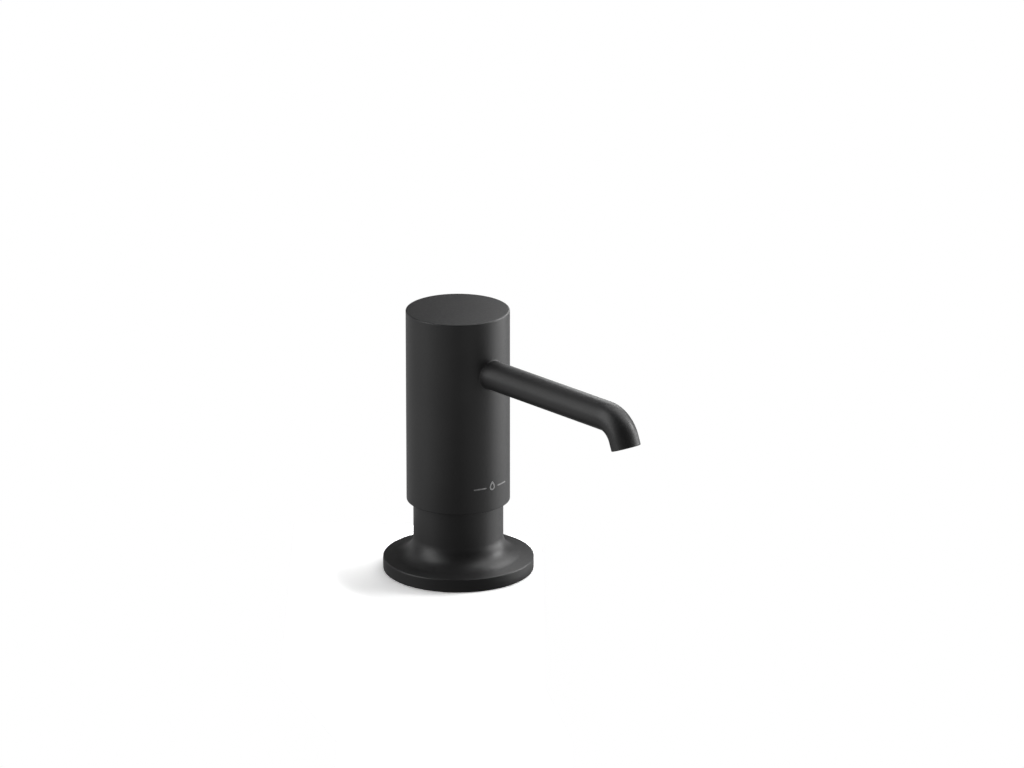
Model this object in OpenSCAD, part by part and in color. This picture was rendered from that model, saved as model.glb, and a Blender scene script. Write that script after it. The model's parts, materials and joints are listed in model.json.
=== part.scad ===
// Deck-mounted soap dispenser with a press-down pump head and a swivelling spout.
// Origin: centre of the flange's underside, in the plane of the deck it stands on.
// +Z is up and the spout points along -Y.

/* [Head] */
// Outside diameter of the pump head
head_d = 37; // [36.8:0.1:38]
// Height of the head's flat top above the deck
head_top_z = 97; // [96:1:104]
// Height of the head's lower rim above the deck with the pump up
head_rim_z = 26.2; // [26:0.2:28]
// Wall thickness of the head shell
head_wall = 2; // [1.7:0.1:2]

/* [Spout] */
// Outside diameter of the spout tube
spout_d = 10.5; // [9.5:0.1:11]
// Height of the spout's level run above the deck
spout_z = 77.1; // [76.5:0.1:78]
// Level run from the head's axis to the start of the bend
spout_run = 78.4; // [50:1:110]
// Radius of the bend along the spout's centreline
spout_bend_r = 9.8; // [9:0.5:14]
// Angle that the outlet is turned down from level
spout_bend_deg = 68.4; // [50:0.5:88]
// Straight length from the bend to the outlet
spout_tip = 3.3; // [3:0.5:8]

/* [Base] */
// Diameter of the flange on the deck
flange_d = 54; // [52:1:60]
// Height of the flange at its edge
flange_h = 4.8; // [4:0.2:6]
// Fall of the flange's top towards its edge
flange_slope_deg = 8; // [4:1:10]
// Outside diameter of the neck that the head slides over
neck_d = 32.2; // [32:0.1:32.4]
// Radius of the fillet between neck and flange
neck_fillet = 7.7; // [6:0.1:8]
// Height of the neck's top edge above the deck
neck_top_z = 38; // [30:1:44]

/* [Mounting] */
// Thickness of the deck that the base is clamped to
deck_t = 30; // [5:1:30]
// Outside diameter of the shank's thread
shank_d = 28; // [28:0.2:28.2]
// Distance from one thread ridge to the next
thread_pitch = 2; // [1.5:0.25:3]
// Depth of the thread
thread_depth = 1; // [0.8:0.1:1]

/* [Bottle] */
// Outside diameter of the bottle
bottle_d = 72; // [64:1:90]
// Depth of the bottle's underside below the deck
bottle_bottom_z = -204; // [-230:1:-180]
// Wall thickness of the bottle
bottle_wall = 1.2; // [1:0.1:1.6]

/* [Pump] */
// Travel of the head when it is pressed
stroke = 13; // [10:0.5:13]
// Inside diameter of the pump cylinder
cylinder_d = 15.2; // [15:0.1:15.4]
// Outside diameter of the hollow stem
stem_d = 7; // [6.8:0.1:7]
// Diameter of the return spring's wire
spring_wire = 1; // [0.8:0.1:1.1]
// Number of turns in the return spring
spring_turns = 9; // [8:1:10]
// Outside diameter of the dip tube
dip_tube_d = 7; // [6:0.1:7]

/* [Hidden] */
$fn = 96;

// Clearances
fit = 0.05;         // between pieces that are assembled tight
running = 0.08;     // between a piece that slides or turns and its guide
thread_gap = 0.1;   // between the flanks of mating threads
eps = 0.01;         // overlap of pieces of one solid, and the step that keeps their surfaces apart

// Head
head_r = head_d / 2;
head_bore_r = head_r - head_wall;
head_top_t = 3;
head_edge_r = 0.5;
rim_edge_r = 0.3;
head_ceiling_z = head_top_z - head_top_t;

// Spout
spout_r = spout_d / 2;
spout_bore_r = 3.9;
spout_root_y = 8.6;       // distance of the root's end from the head's axis
spout_lip_r = 0.4;
liner_r = spout_bore_r - fit;
liner_bore_r = 1.9;
hole_chamfer = 0.35;
set_screw_y = 14;
set_screw_r = 1.45;
set_screw_h = 5.5;

// Head insert
insert_z = 64;
insert_r = head_bore_r - fit;
insert_top_z = head_ceiling_z - fit;
chamber_r = 2.7;
chamber_top_z = spout_z + 2.5;

// Base
flange_r = flange_d / 2;
flange_edge_r = 0.5;
neck_r = neck_d / 2;
neck_bore_r = 13.6;
neck_edge_r = 0.6;
fillet_x = neck_r + neck_fillet;
slope_h = tan(flange_slope_deg) * (flange_r - flange_edge_r - fillet_x);
fillet_z = flange_h + slope_h + neck_fillet / cos(flange_slope_deg);
gasket_in_r = 19;
gasket_out_r = 25;
gasket_t = 1.6;
thread_lead_in = 1.4;     // depth of the cone at the start of the base's thread

// Shank and what is on it
shank_r = shank_d / 2;
shank_bore_r = 11.3;
shank_top_z = 12;
shank_bottom_z = -62;
rubber_t = 2.5;
clamp_t = 1.5;
nut_h = 12;
nut_top_z = -deck_t - rubber_t - clamp_t;
nut_bottom_z = nut_top_z - nut_h;
nut_hub_r = 18.2;
nut_flange_r = 22.5;
nut_flange_t = 2.6;
nut_wings = 4;
nut_wing_r = 26;
nut_wing_t = 5;

// Bottle
bottle_r = bottle_d / 2;
bottle_neck_r = 17.4;
bottle_neck_top_z = -47.5;
bottle_top_z = -66;
shoulder_r = 16;
heel_r = 6;
push_up = 2.2;            // rise of the bottle's underside at its middle

// Pump
stem_r = stem_d / 2;
stem_bore_r = 1.8;
stem_top_z = 72;
stem_bottom_z = -3;
stem_seat_h = 1;
collar_r = 5.2;
collar_z = 9;
collar_t = 2;
o_groove_z = 68;
o_groove_h = 1.3;
cylinder_r = cylinder_d / 2;
piston_r = cylinder_r - running;
piston_h = 9;
piston_lip = 1.6;
retainer_r = 6.4;
housing_r = cylinder_r + 1.8;
housing_flange_r = 13.2;
housing_flange_z = shank_top_z + 1;
housing_flange_t = 1.5;
housing_collar_r = 11.2;
housing_top_z = 20;
housing_floor_z = -32;
ball_chamber_r = 4.2;
inlet_seat_r = 2.2;
inlet_seat_z = -40;
tube_socket_z = -42;
vent_z = 5;
vent_r = 0.6;
nipple_r = 5.6;
nipple_bottom_z = -54;
guide_nose_z = collar_z + collar_t + 0.2;
guide_flange_t = 2;
cap_r = 13.3;
cap_bottom_z = housing_flange_z + housing_flange_t + 0.1;
cap_top_z = 25;
cap_ribs = 24;
cap_o_z = 23.2;

// Valve balls: each rests on the edge of its seat's bore
inlet_ball_r = 3;
outlet_ball_r = 2.4;
ball_rest = 0.02;         // clearance at the seat
inlet_ball_z = inlet_seat_z + sqrt(pow(inlet_ball_r, 2) - pow(inlet_seat_r, 2)) + ball_rest;
outlet_ball_z = stem_top_z - stem_seat_h + sqrt(pow(outlet_ball_r, 2) - pow(stem_bore_r, 2)) + ball_rest;
ball_lift = 1.5;

// Spring
spring_r = 5;             // to the middle of the wire
cage_t = 1.5;
cage_boss_h = 2;
spring_seat_z = housing_floor_z + cage_t;
spring_bottom_z = spring_seat_z + spring_wire / 2 + fit;
spring_top_z = stem_bottom_z - spring_wire / 2 - fit;
spring_steps = 20;        // rings in each turn
spring_sides = 8;

// Dip tube
dip_tube_r = dip_tube_d / 2;
dip_tube_bore_r = 1.95;
dip_tube_bottom_z = bottle_bottom_z + 5;

// Colours
matte_black = [0.07, 0.07, 0.07];
black_plastic = [0.10, 0.10, 0.11];
white_plastic = [0.90, 0.90, 0.88];
natural_plastic = [0.88, 0.88, 0.84];
steel = [0.75, 0.75, 0.77];
rubber_black = [0.05, 0.05, 0.05];

// A half profile with round corners, turned about Z into a disc or a drum
module round_profile(r, z_lo, z_hi, r_lo, r_hi) {
  union() {
    translate([0, z_lo + r_lo]) square([r, z_hi - z_lo - r_lo - r_hi]);
    translate([0, z_lo]) square([r - r_lo, r_lo + eps]);
    translate([0, z_hi - r_hi - eps]) square([r - r_hi, r_hi + eps]);
    translate([r - r_lo, z_lo + r_lo]) circle(r_lo);
    translate([r - r_hi, z_hi - r_hi]) circle(r_hi);
  }
}

// A plain ring about Z
module ring(r_in, r_out, z_lo, z_hi) {
  translate([0, 0, z_lo]) difference() {
    cylinder(h = z_hi - z_lo, r = r_out);
    translate([0, 0, -1]) cylinder(h = z_hi - z_lo + 2, r = r_in);
  }
}

// A round seal of cord radius r_cord about Z
module o_ring(r_ring, r_cord, z) {
  translate([0, 0, z]) rotate_extrude() translate([r_ring, 0]) circle(r_cord, $fn = 48);
}

// Profile of the thread's ridges that lie wholly between two heights, widened by gap
function thread_points(z_lo, z_hi, gap) = [
  for (k = [ceil(z_lo / thread_pitch) : floor(z_hi / thread_pitch) - 1])
    let (z = k * thread_pitch, crest = shank_r + gap, root = shank_r - thread_depth + gap)
      each [
        [root, z + 0.05 * thread_pitch], [root, z + 0.15 * thread_pitch],
        [crest, z + 0.45 * thread_pitch], [crest, z + 0.55 * thread_pitch],
        [root, z + 0.85 * thread_pitch]
      ]
];

// A threaded rod about Z, or the hole that fits round it where gap is thread_gap
module thread_core(z_lo, z_hi, gap) {
  root = shank_r - thread_depth + gap;
  rotate_extrude() polygon(concat(
    [[0, z_lo], [root, z_lo]], thread_points(z_lo, z_hi, gap), [[root, z_hi], [0, z_hi]]
  ));
}

// A rod of radius r that follows the spout's centreline from y = -start to its outlet
module spout_rod(r, start, tip) {
  translate([0, -start, spout_z]) rotate([90, 0, 0]) cylinder(h = spout_run - start, r = r);
  bend_frame() rotate_extrude(angle = spout_bend_deg) translate([spout_bend_r, 0]) circle(r);
  tip_frame() cylinder(h = tip + eps, r = r + eps);
}

// Moves its children to the bend's axis, with +X towards the bend's start and +Y along the level run
module bend_frame() {
  translate([0, -spout_run, spout_z - spout_bend_r]) rotate([0, -90, 180]) children();
}

// Moves its children to the end of the bend, with +Z along the outlet
module tip_frame() {
  bend_frame() rotate([0, 0, spout_bend_deg]) translate([spout_bend_r, -eps, 0]) rotate([-90, 0, 0]) children();
}

module head_shell() {
  color(matte_black) difference() {
    rotate_extrude() difference() {
      round_profile(head_r, head_rim_z, head_top_z, rim_edge_r, head_edge_r);
      translate([-1, head_rim_z - 1]) square([head_bore_r + 1, head_ceiling_z - head_rim_z + 1]);
    }
    translate([0, 0, spout_z]) rotate([90, 0, 0]) cylinder(h = head_r + 2, r = spout_r + fit);
    translate([0, -head_r + 2, spout_z]) rotate([90, 0, 0])
      cylinder(h = 3, r1 = spout_r + fit + hole_chamfer - 2, r2 = spout_r + fit + hole_chamfer + 1);
  }
}

// Bent tube with a square-cut outlet, a rounded lip and a groove for the seal at its root
module spout() {
  groove_y = spout_root_y + 1.6;
  color(matte_black) difference() {
    union() {
      spout_rod(spout_r, spout_root_y, spout_tip - spout_lip_r - 1);
      tip_frame() rotate_extrude() {
        square([spout_r - spout_lip_r, spout_tip + eps]);
        square([spout_r + eps, spout_tip - spout_lip_r + eps]);
        translate([spout_r - spout_lip_r + eps, spout_tip - spout_lip_r + eps]) circle(spout_lip_r, $fn = 48);
      }
    }
    spout_rod(spout_bore_r, spout_root_y - 1, spout_tip + 1);
    translate([0, -groove_y, spout_z]) rotate([90, 0, 0]) ring(spout_r - 0.9, spout_r + 1, 0, 1.3);
  }
}

module spout_liner() {
  color(natural_plastic) difference() {
    spout_rod(liner_r, spout_root_y, spout_tip - 1);
    spout_rod(liner_bore_r, spout_root_y - 1, spout_tip + 1);
  }
}

module spout_o_ring() {
  color(rubber_black) translate([0, -spout_root_y - 1.6 - 0.65, spout_z]) rotate([90, 0, 0])
    o_ring(spout_r - 0.42, 0.45, 0);
}

// Grub screw that comes up from the insert's underside and holds the spout's root
module spout_set_screw() {
  color(steel) translate([0, -set_screw_y, spout_z - spout_r - fit - set_screw_h]) difference() {
    cylinder(h = set_screw_h, r = set_screw_r);
    translate([0, 0, -1]) cylinder(h = 3, r = 0.87, $fn = 6);
  }
}

// Core of the head: stem socket below, valve chamber in the middle, spout socket in front
module head_insert() {
  color(white_plastic) difference() {
    translate([0, 0, insert_z]) cylinder(h = insert_top_z - insert_z, r = insert_r);
    translate([0, 0, insert_z - 1]) cylinder(h = stem_top_z - insert_z + 1.3, r = stem_r + running);
    translate([0, 0, stem_top_z]) difference() {
      cylinder(h = chamber_top_z - stem_top_z, r = chamber_r);
      translate([0, 0, outlet_ball_z + outlet_ball_r + ball_lift + 0.1 - stem_top_z]) cylinder(h = 10, r = 0.8);
    }
    translate([0, 0, spout_z]) rotate([90, 0, 0]) cylinder(h = spout_root_y + 1, r = liner_bore_r);
    translate([0, -spout_root_y + fit, spout_z]) rotate([90, 0, 0]) cylinder(h = insert_r, r = spout_r + fit);
    translate([0, -set_screw_y, insert_z - 1]) cylinder(h = spout_z - insert_z, r = set_screw_r + fit);
    for (turn = [0 : 5]) rotate([0, 0, 60 * turn + 30]) insert_pocket();
  }
}

// One of the moulded pockets that are open at the insert's top
module insert_pocket() {
  pocket_z = spout_z + spout_r + 2;
  translate([0, 0, pocket_z]) intersection() {
    ring(6, insert_r - 1.6, 0, insert_top_z - pocket_z + 1);
    rotate([0, 0, 3]) cube([insert_r, insert_r, 40]);
    rotate([0, 0, -36]) cube([insert_r, insert_r, 40]);
  }
}

module stem_o_ring() {
  color(rubber_black) o_ring(stem_r - 0.46, 0.49, o_groove_z + o_groove_h / 2);
}

// Hollow rod that carries the head above and the piston below, with the outlet valve's seat on top
module pump_stem() {
  color(white_plastic) difference() {
    union() {
      translate([0, 0, stem_bottom_z + 1]) cylinder(h = stem_top_z - stem_bottom_z - 1, r = stem_r);
      translate([0, 0, stem_bottom_z]) cylinder(h = 1 + eps, r1 = stem_r - 0.6, r2 = stem_r);
      translate([0, 0, collar_z]) cylinder(h = collar_t, r = collar_r);
    }
    translate([0, 0, stem_bottom_z - 1]) cylinder(h = 90, r = stem_bore_r);
    translate([0, 0, stem_top_z - stem_seat_h])
      cylinder(h = stem_seat_h + eps, r1 = stem_bore_r, r2 = stem_bore_r + stem_seat_h);
    ring(stem_r - 0.98, stem_r + 1, o_groove_z, o_groove_z + o_groove_h);
  }
}

// Soft piston with a sealing lip at each end
module piston() {
  lip_z = piston_h - fit;
  groove_in = stem_r + 1.5;
  groove_out = piston_r - 1;
  color(natural_plastic) rotate_extrude() polygon([
    [stem_r + fit, 0.1], [groove_in, 0.1], [groove_in + 0.2, piston_lip + 0.4], [groove_out - 0.2, piston_lip + 0.4],
    [groove_out, 0.1], [piston_r, 0.1], [piston_r, piston_lip], [piston_r - 0.8, piston_lip + 0.8],
    [piston_r - 0.8, lip_z - piston_lip - 0.8], [piston_r, lip_z - piston_lip], [piston_r, lip_z],
    [groove_out, lip_z], [groove_out - 0.2, lip_z - piston_lip - 0.4],
    [collar_r + 0.2, lip_z - piston_lip - 0.4], [collar_r, lip_z], [stem_r + fit, lip_z]
  ]);
}

// Ring at the stem's lower end that holds the piston and takes the spring's thrust
module piston_retainer() {
  color(white_plastic) difference() {
    union() {
      translate([0, 0, stem_bottom_z]) cylinder(h = 3, r = retainer_r);
      translate([0, 0, stem_bottom_z - 2]) cylinder(h = 2 + eps, r = spring_r - spring_wire / 2 - 0.3);
    }
    translate([0, 0, stem_bottom_z - 3]) cylinder(h = 4, r = stem_bore_r + 0.6);
    translate([0, 0, stem_bottom_z - fit]) cylinder(h = 4, r = stem_r + fit);
  }
}

module outlet_ball() {
  color(steel) translate([0, 0, outlet_ball_z]) sphere(outlet_ball_r);
}

// Screwed closure with a ribbed side and a groove for its seal
module pump_cap() {
  ledge_z = housing_top_z + guide_flange_t + fit;
  color(black_plastic) difference() {
    translate([0, 0, cap_bottom_z]) cylinder(h = cap_top_z - cap_bottom_z, r = cap_r);
    translate([0, 0, cap_bottom_z - 1]) cylinder(h = ledge_z - cap_bottom_z + 1, r = housing_collar_r + thread_gap);
    translate([0, 0, cap_bottom_z]) cylinder(h = 20, r = stem_r + 1.5);
    ring(cap_r - 1.15, cap_r + 1, cap_o_z - 0.75, cap_o_z + 0.75);
    for (k = [0 : cap_ribs - 1]) rotate([0, 0, k * 360 / cap_ribs])
      translate([cap_r + 0.15, 0, cap_bottom_z + 1.2]) cylinder(h = 5.5, r = 0.6, $fn = 24);
  }
}

module pump_cap_o_ring() {
  color(rubber_black) o_ring(cap_r - 0.44, 0.65, cap_o_z);
}

// Bush that closes the cylinder's top and guides the stem
module stem_guide() {
  color(natural_plastic) difference() {
    union() {
      translate([0, 0, guide_nose_z]) cylinder(h = housing_top_z - guide_nose_z + 1, r = cylinder_r - fit);
      translate([0, 0, housing_top_z + fit]) cylinder(h = guide_flange_t - fit, r = housing_collar_r - fit);
    }
    translate([0, 0, guide_nose_z - 1]) cylinder(h = 20, r = stem_r + running);
    ring(stem_r + 1.5, cylinder_r - 1.4, guide_nose_z + 2, housing_top_z + guide_flange_t + 1);
  }
}

// Pump cylinder: seating flange above, inlet seat and dip tube socket below, air vent behind the piston
module pump_housing() {
  color(white_plastic) difference() {
    rotate_extrude() polygon([
      [cylinder_r, housing_top_z], [housing_collar_r - 0.4, housing_top_z], [housing_collar_r, housing_top_z - 0.4],
      [housing_collar_r, housing_flange_z + housing_flange_t],
      [housing_flange_r, housing_flange_z + housing_flange_t], [housing_flange_r, housing_flange_z],
      [housing_r + 0.5, housing_flange_z], [housing_r, housing_flange_z - 0.5], [housing_r, housing_floor_z - 1],
      [nipple_r, inlet_seat_z + 3], [nipple_r, nipple_bottom_z + 0.5], [nipple_r - 0.5, nipple_bottom_z],
      [dip_tube_r + 0.4, nipple_bottom_z], [dip_tube_r + fit, nipple_bottom_z + 0.4],
      [dip_tube_r + fit, tube_socket_z], [inlet_seat_r, tube_socket_z], [inlet_seat_r, inlet_seat_z],
      [ball_chamber_r, inlet_seat_z + ball_chamber_r - inlet_seat_r], [ball_chamber_r, housing_floor_z],
      [cylinder_r, housing_floor_z]
    ]);
    translate([0, 0, vent_z]) rotate([90, 0, 0]) cylinder(h = housing_r + 1, r = vent_r, $fn = 32);
  }
}

module housing_gasket() {
  color(rubber_black) ring(housing_r + 0.6, housing_flange_r, shank_top_z + fit, housing_flange_z - fit);
}

// Height of the spring's wire at turn t: each end has one closed turn, and the turns between are open
function spring_rise(t) =
  let (
    closed = spring_wire * 1.04,
    open = (spring_top_z - spring_bottom_z - 2 * closed) / (spring_turns - 2)
  )
  t < 1 ? closed * t
  : t > spring_turns - 1 ? spring_top_z - spring_bottom_z - closed * (spring_turns - t)
  : closed + open * (t - 1);

// Coiled wire as one swept tube
module return_spring() {
  rings = spring_turns * spring_steps + 1;
  wire_r = spring_wire / 2;
  points = [
    for (i = [0 : rings - 1], s = [0 : spring_sides - 1])
      let (
        turn = i / spring_steps,
        r = spring_r + wire_r * cos(360 * s / spring_sides),
        z = spring_bottom_z + spring_rise(turn) + wire_r * sin(360 * s / spring_sides)
      )
      [r * cos(360 * turn), r * sin(360 * turn), z]
  ];
  sides = [
    for (i = [0 : rings - 2], s = [0 : spring_sides - 1])
      let (a = i * spring_sides + s, b = i * spring_sides + (s + 1) % spring_sides)
        each [[a, a + spring_sides, b], [b, a + spring_sides, b + spring_sides]]
  ];
  first = [for (s = [0 : spring_sides - 1]) s];
  last = [for (s = [spring_sides - 1 : -1 : 0]) (rings - 1) * spring_sides + s];
  color(steel) polyhedron(points, concat(sides, [first, last]));
}

// Perforated disc that the spring stands on, with a pin that stops the inlet ball
module ball_cage() {
  pin_h = housing_floor_z - (inlet_ball_z + inlet_ball_r + ball_lift + 0.1);
  color(natural_plastic) difference() {
    union() {
      translate([0, 0, housing_floor_z + fit]) cylinder(h = cage_t - fit, r = cylinder_r - fit);
      translate([0, 0, spring_seat_z - eps]) cylinder(h = cage_boss_h, r = spring_r - spring_wire / 2 - 0.3);
      translate([0, 0, housing_floor_z - pin_h]) cylinder(h = pin_h + 1, r = 1);
    }
    for (turn = [0 : 3]) rotate([0, 0, 90 * turn]) translate([2.7, 0, housing_floor_z - 5])
      cylinder(h = 12, r = 0.95);
  }
}

module inlet_ball() {
  color(steel) translate([0, 0, inlet_ball_z]) sphere(inlet_ball_r);
}

// Suction tube with its lower end cut at a slant
module dip_tube() {
  color(natural_plastic) difference() {
    translate([0, 0, dip_tube_bottom_z]) cylinder(h = tube_socket_z - fit - dip_tube_bottom_z, r = dip_tube_r);
    translate([0, 0, dip_tube_bottom_z - 1]) cylinder(h = 300, r = dip_tube_bore_r);
    translate([0, 0, dip_tube_bottom_z + 2]) rotate([30, 0, 0]) translate([-10, -10, -20]) cube([20, 20, 20]);
  }
}

// Flange, fillet and neck in one piece, threaded inside for the shank
module base_flange() {
  color(matte_black) difference() {
    rotate_extrude() difference() {
      union() {
        polygon([
          [1, 0], [flange_r - 0.3, 0], [flange_r, 0.3], [flange_r, flange_h - flange_edge_r],
          [flange_r - flange_edge_r, flange_h - flange_edge_r], [flange_r - flange_edge_r, flange_h],
          [fillet_x - neck_fillet * sin(flange_slope_deg), fillet_z - neck_fillet * cos(flange_slope_deg)],
          [fillet_x, fillet_z], [neck_r, fillet_z], [neck_r, neck_top_z - neck_edge_r],
          [neck_r - neck_edge_r, neck_top_z - neck_edge_r], [neck_r - neck_edge_r, neck_top_z], [1, neck_top_z]
        ]);
        translate([flange_r - flange_edge_r, flange_h - flange_edge_r]) circle(flange_edge_r, $fn = 48);
        translate([neck_r - neck_edge_r, neck_top_z - neck_edge_r]) circle(neck_edge_r, $fn = 48);
      }
      translate([fillet_x, fillet_z]) circle(neck_fillet);
      translate([gasket_in_r, -1]) square([gasket_out_r - gasket_in_r, gasket_t + 1]);
    }
    translate([0, 0, shank_top_z - eps]) cylinder(h = 60, r = neck_bore_r);
    translate([0, 0, neck_top_z - 0.6]) cylinder(h = 1, r1 = neck_bore_r, r2 = neck_bore_r + 1);
    thread_core(-thread_pitch, shank_top_z, thread_gap);
    translate([0, 0, -1]) cylinder(h = 1 + thread_lead_in, r1 = shank_r + thread_lead_in, r2 = shank_r - 1);
  }
}

module deck_gasket() {
  color(rubber_black) ring(gasket_in_r + fit, gasket_out_r - fit, 0, gasket_t - fit);
}

// Threaded tube through the deck; the pump hangs in its bore and the bottle screws on below
module shank() {
  color(black_plastic) difference() {
    union() {
      thread_core(shank_bottom_z + 1.5, shank_top_z - 1.5, 0);
      translate([0, 0, shank_bottom_z]) cylinder(h = shank_top_z - shank_bottom_z, r = shank_r - thread_depth - eps);
    }
    translate([0, 0, shank_bottom_z - 1]) cylinder(h = 90, r = shank_bore_r);
  }
}

module rubber_washer() {
  color(rubber_black) ring(shank_r + 0.3, gasket_out_r, -deck_t - rubber_t, -deck_t);
}

module clamp_washer() {
  color(steel) ring(shank_r + 0.4, gasket_out_r - 1, nut_top_z, nut_top_z + clamp_t);
}

// Flanged nut with round-ended wings for the fingers
module mounting_nut() {
  color(black_plastic) difference() {
    union() {
      translate([0, 0, nut_bottom_z]) cylinder(h = nut_h, r = nut_hub_r);
      translate([0, 0, nut_top_z - nut_flange_t]) cylinder(h = nut_flange_t, r = nut_flange_r);
      for (k = [0 : nut_wings - 1]) rotate([0, 0, 45 + k * 360 / nut_wings]) {
        translate([0, -nut_wing_t / 2, nut_bottom_z + 1]) cube([nut_wing_r, nut_wing_t, nut_h - 1]);
        translate([nut_wing_r, 0, nut_bottom_z + 1]) cylinder(h = nut_h - 1, r = nut_wing_t / 2);
      }
    }
    thread_core(nut_bottom_z - thread_pitch, nut_top_z + thread_pitch, thread_gap);
  }
}

// Blown bottle; its neck is threaded inside and screws onto the shank
module bottle() {
  neck_in_r = shank_r - thread_depth + thread_gap;
  inner_r = bottle_r - bottle_wall;
  color(natural_plastic) difference() {
    rotate_extrude() difference() {
      union() {
        round_profile(bottle_r, bottle_bottom_z, bottle_top_z, heel_r, shoulder_r);
        translate([0, bottle_top_z - 2]) square([bottle_neck_r, bottle_neck_top_z - bottle_top_z + 2]);
      }
      round_profile(
        inner_r, bottle_bottom_z + bottle_wall + push_up, bottle_top_z - bottle_wall,
        heel_r - bottle_wall, shoulder_r - bottle_wall
      );
      translate([0, bottle_top_z - 3]) square([neck_in_r, 30]);
      translate([0, bottle_bottom_z - 1]) square([bottle_r - heel_r - 3, 1 + push_up]);
    }
    thread_core(shank_bottom_z - thread_pitch, bottle_neck_top_z + thread_pitch, thread_gap);
  }
}

head_shell();
spout();
spout_liner();
spout_o_ring();
spout_set_screw();
head_insert();
stem_o_ring();
pump_stem();
piston();
piston_retainer();
outlet_ball();
pump_cap();
pump_cap_o_ring();
stem_guide();
pump_housing();
housing_gasket();
return_spring();
ball_cage();
inlet_ball();
dip_tube();
base_flange();
deck_gasket();
shank();
rubber_washer();
clamp_washer();
mounting_nut();
bottle();
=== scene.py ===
import json
import math

import bmesh
import bpy
from mathutils import Matrix, Vector
from mathutils.geometry import tessellate_polygon

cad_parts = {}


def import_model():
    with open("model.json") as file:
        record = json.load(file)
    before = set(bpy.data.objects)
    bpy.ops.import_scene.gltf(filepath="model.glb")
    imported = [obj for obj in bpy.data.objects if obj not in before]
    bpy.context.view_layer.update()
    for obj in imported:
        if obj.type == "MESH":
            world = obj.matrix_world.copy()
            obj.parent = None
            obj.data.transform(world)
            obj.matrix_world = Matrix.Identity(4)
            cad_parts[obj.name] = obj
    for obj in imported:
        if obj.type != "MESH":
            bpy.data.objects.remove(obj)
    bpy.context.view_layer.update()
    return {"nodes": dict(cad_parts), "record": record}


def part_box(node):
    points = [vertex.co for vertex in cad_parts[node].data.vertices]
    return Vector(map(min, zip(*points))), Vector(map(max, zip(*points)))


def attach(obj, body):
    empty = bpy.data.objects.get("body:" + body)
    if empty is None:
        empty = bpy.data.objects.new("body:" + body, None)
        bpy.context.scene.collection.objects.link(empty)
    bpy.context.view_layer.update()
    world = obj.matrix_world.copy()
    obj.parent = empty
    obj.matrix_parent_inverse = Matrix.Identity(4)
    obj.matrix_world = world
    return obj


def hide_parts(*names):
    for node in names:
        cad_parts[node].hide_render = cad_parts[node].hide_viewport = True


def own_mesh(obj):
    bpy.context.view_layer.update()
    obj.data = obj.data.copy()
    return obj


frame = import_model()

# A deck-mounted soap dispenser: the visible pieces, their materials and the studio round them.

scene = bpy.context.scene
nodes = frame["nodes"]

MM = 0.001  # sizes below are in millimetres, and Blender's are in metres

# Points closer than these are welded, in metres: in a new mesh, and after a boolean
WELD_GAP = 2e-7
BOOLEAN_GAP = 2e-6

# Sizes shared with the CAD model, in mm. Z is 0 at the top of the deck.
HEAD_R = 18.5
HEAD_BORE_R = 16.5
HEAD_TOP_Z = 97.0
HEAD_RIM_Z = 26.2
HEAD_CEILING_Z = 94.0
SPOUT_R = 5.25
SPOUT_BORE_R = 3.9
LINER_R = 3.85
LINER_BORE_R = 1.9
SPOUT_Z = 77.1
SPOUT_ROOT_Y = 8.6
SPOUT_RUN = 78.4
SPOUT_BEND_R = 9.8
SPOUT_BEND = math.radians(68.4)
SPOUT_TIP = 3.3
SPOUT_LENGTH = SPOUT_RUN - SPOUT_ROOT_Y + SPOUT_BEND_R * SPOUT_BEND + SPOUT_TIP
FLANGE_R = 27.0
FLANGE_H = 4.8
FLANGE_SLOPE = math.tan(math.radians(8))
RECESS_INNER_R = 19.0
RECESS_OUTER_R = 25.0
RECESS_Z = 1.6
GASKET_GAP = 0.05
NECK_R = 16.1
NECK_FILLET = 7.7
NECK_TOP_Z = 38.0
NECK_BORE_R = 13.6
THREAD_R = 14.0
THREAD_ROOT_R = 13.0
THREAD_PITCH = 2.0
THREAD_CLEAR_R = 14.12
SHANK_BORE_R = 11.3
SHANK_TOP_Z = 12.0
THREAD_LEAD_IN = 0.4
SHANK_BOTTOM_Z = -62.0
DECK_T = 30.0
CLAMP_TOP_Z = -32.5
NUT_TOP_Z = -34.0
NUT_BOTTOM_Z = -46.0
BOTTLE_R = 36.0
BOTTLE_BOTTOM_Z = -204.0
BOTTLE_TOP_Z = -66.0
BOTTLE_NECK_R = 17.4
BOTTLE_NECK_TOP_Z = -47.5

# The photograph's view of the object; the camera's place is in metres
VIEW_AZIMUTH = math.radians(41.423)
VIEW_ELEVATION = math.radians(18.487)
CAMERA_AT = (-1.4680, -1.6928, 0.8182)
CAMERA_LENS = 233.69

# The sheet at deck level, in mm. Its outline is seen from above: +X is the picture's right and -Y
# runs towards the camera.
DECK_LEVEL = -0.03
DECK_HOLE_R = 17.5
DECK_OUTLINE = [
    (30, 30),
    (30, -120),
    (39, -170),
    (39, -620),
    (-39, -620),
    (-39, -170),
    (-60, -110),
    (-60, 45),
    (-20, 45),
]
DECK_GLOW_RAMP = (42.0, 60.0)  # painted glow: from and to how far from the axis the sheet's emission turns it white and fades out its shadow
DECK_LIFT = 0.74  # second coat of diffuse white that only the camera sees
DECK_BOUNCE = 0.18  # glow of the sheet that only the object sees

# What the surroundings light the object with, from below and from above the horizon
FILL_BELOW = 0.47
FILL_ABOVE = 0.0
FILL_BLEND = 0.06

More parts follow.
